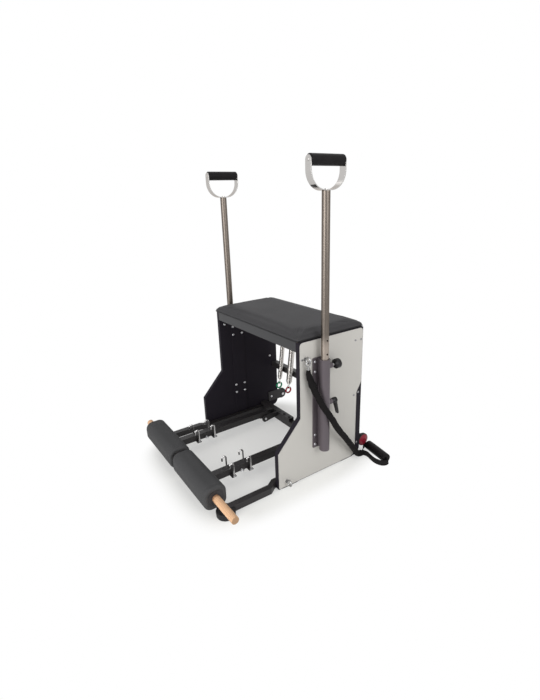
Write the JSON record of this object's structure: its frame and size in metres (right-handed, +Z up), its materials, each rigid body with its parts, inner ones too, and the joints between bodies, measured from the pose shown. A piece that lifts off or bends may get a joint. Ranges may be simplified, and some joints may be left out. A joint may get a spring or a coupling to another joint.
{
  "type": "pilates chair",
  "caption": "Pilates chair with padded seat, foot pedals with rollers and hooks, hanging springs, lift-out handles, transport wheels and a resistance band.",
  "frame": {"origin": "centre of the outline on the floor, without the band", "axes": "+Z up, -Y towards the pedals, +X to the side with the band"},
  "size_m": [0.8121, 0.7933, 1.174],
  "materials": {
    "panel_core": "board painted dark satin",
    "face_sheet": "pale satin laminate",
    "frame_black": "black powder coat",
    "frame_dark": "dark grey satin paint",
    "rubber": "matt rubber",
    "sleeve_paint": "mauve grey satin paint",
    "zinc": "bright zinc",
    "chrome": "polished",
    "vinyl": "charcoal upholstery vinyl",
    "plywood": "plain plywood",
    "steel": "brushed",
    "strap_steel": "polished stainless strap",
    "grip_rubber": "soft grip",
    "knob": "black moulded",
    "end_plastic": "black moulded",
    "wood": "pale turned wood",
    "wheel_red": "dark red moulded",
    "spring_steel": "bright spring wire",
    "ring_green": "green coated ring",
    "ring_red": "red coated ring",
    "sheath": "black woven sheath",
    "webbing": "black woven webbing"
  },
  "bodies": {
    "frame": {"right_panel": "panel_core", "left_panel": "panel_core", "face_sheets": "face_sheet", "backing_plates": "frame_dark", "front_top_rail": "frame_dark", "rear_top_rail": "frame_dark", "mid_cross_bar": "frame_black", "rear_floor_bar": "frame_black", "base_frame": "frame_black", "front_feet": "rubber", "floor_pads": "rubber", "pedal_rests": "rubber", "pivot_brackets": "frame_black", "pivot_pins": "zinc", "right_sleeve": "sleeve_paint", "left_sleeve": "sleeve_paint", "sleeve_bolts": "zinc", "panel_screws": "zinc", "eye_bolts": "chrome", "wheel_brackets": "frame_black", "wheel_axles": "zinc", "seat_board": "plywood", "seat_cushion": "vinyl", "spring_eyes": "zinc", "band_tube": "sheath", "band_clip": "chrome", "band_grip": "grip_rubber", "band_webbing": "webbing"},
    "right_pedal": {"right_arm": "frame_black", "right_pad": "vinyl", "right_pad_ends": "end_plastic", "right_hooks": "chrome"},
    "left_pedal": {"left_arm": "frame_black", "left_pad": "vinyl", "left_pad_ends": "end_plastic", "left_hooks": "chrome"},
    "dowel": {"dowel": "wood"},
    "right_handle": {"right_tube": "steel", "right_strap": "strap_steel", "right_grip": "grip_rubber"},
    "left_handle": {"left_tube": "steel", "left_strap": "strap_steel", "left_grip": "grip_rubber"},
    "right_plunger": {"right_plunger_knob": "knob", "right_plunger_pin": "chrome"},
    "left_plunger": {"left_plunger_knob": "knob", "left_plunger_pin": "chrome"},
    "right_clamp": {"right_clamp_lever": "knob"},
    "left_clamp": {"left_clamp_lever": "knob"},
    "right_wheel": {"right_wheel": "wheel_red"},
    "left_wheel": {"left_wheel": "wheel_red"},
    "right_outer_spring": {"right_outer_spring": "spring_steel", "right_outer_ring": "ring_green"},
    "right_inner_spring": {"right_inner_spring": "spring_steel", "right_inner_ring": "ring_red"},
    "left_outer_spring": {"left_outer_spring": "spring_steel", "left_outer_ring": "ring_green"},
    "left_inner_spring": {"left_inner_spring": "spring_steel", "left_inner_ring": "ring_red"}
  },
  "joints": [
    {"name": "right_pedal_hinge", "type": "hinge", "parent": "frame", "child": "right_pedal", "pos_m": [0.1235, 0.1475, 0.036], "axis": [-1, 0, 0], "range_deg": [0, 45]},
    {"name": "left_pedal_hinge", "type": "hinge", "parent": "frame", "child": "left_pedal", "pos_m": [-0.1835, 0.1475, 0.036], "axis": [-1, 0, 0], "range_deg": [0, 45]},
    {"name": "dowel_slide", "type": "slide", "parent": "right_pedal", "child": "dowel", "axis": [1, 0, 0], "range_m": [-0.04, 0.34]},
    {"name": "right_handle_slide", "type": "slide", "parent": "frame", "child": "right_handle", "axis": [0, 0, 1], "range_m": [-0.104, 0.156]},
    {"name": "right_plunger_pull", "type": "slide", "parent": "frame", "child": "right_plunger", "axis": [0, 1, 0], "range_m": [0, 0.008], "stiffness_N_per_m": 600, "springref_m": -0.004},
    {"name": "right_clamp_turn", "type": "hinge", "parent": "frame", "child": "right_clamp", "pos_m": [0.311, 0.1405, 0.318], "axis": [0, -1, 0], "range_deg": [0, 120]},
    {"name": "right_wheel_spin", "type": "hinge", "parent": "frame", "child": "right_wheel", "pos_m": [0.27, 0.362, 0.0515], "axis": [1, 0, 0], "continuous": true},
    {"name": "left_handle_slide", "type": "slide", "parent": "frame", "child": "left_handle", "axis": [0, 0, 1], "range_m": [-0.104, 0.156]},
    {"name": "left_plunger_pull", "type": "slide", "parent": "frame", "child": "left_plunger", "axis": [0, 1, 0], "range_m": [0, 0.008], "stiffness_N_per_m": 600, "springref_m": -0.004},
    {"name": "left_clamp_turn", "type": "hinge", "parent": "frame", "child": "left_clamp", "pos_m": [-0.371, 0.1405, 0.318], "axis": [0, 1, 0], "range_deg": [0, 120]},
    {"name": "left_wheel_spin", "type": "hinge", "parent": "frame", "child": "left_wheel", "pos_m": [-0.33, 0.362, 0.0515], "axis": [1, 0, 0], "continuous": true},
    {"name": "right_outer_spring_swing", "type": "hinge", "parent": "frame", "child": "right_outer_spring", "pos_m": [0.161, 0.3235, 0.509], "axis": [-1, 0, 0], "range_deg": [0, 35]},
    {"name": "right_inner_spring_swing", "type": "hinge", "parent": "frame", "child": "right_inner_spring", "pos_m": [0.085, 0.3235, 0.509], "axis": [-1, 0, 0], "range_deg": [0, 35]},
    {"name": "left_outer_spring_swing", "type": "hinge", "parent": "frame", "child": "left_outer_spring", "pos_m": [-0.221, 0.3235, 0.509], "axis": [-1, 0, 0], "range_deg": [0, 35]},
    {"name": "left_inner_spring_swing", "type": "hinge", "parent": "frame", "child": "left_inner_spring", "pos_m": [-0.145, 0.3235, 0.509], "axis": [-1, 0, 0], "range_deg": [0, 35]}
  ],
  "couplings": [
    {"joint": "left_pedal_hinge", "follows": "right_pedal_hinge", "ratio": 1}
  ]
}
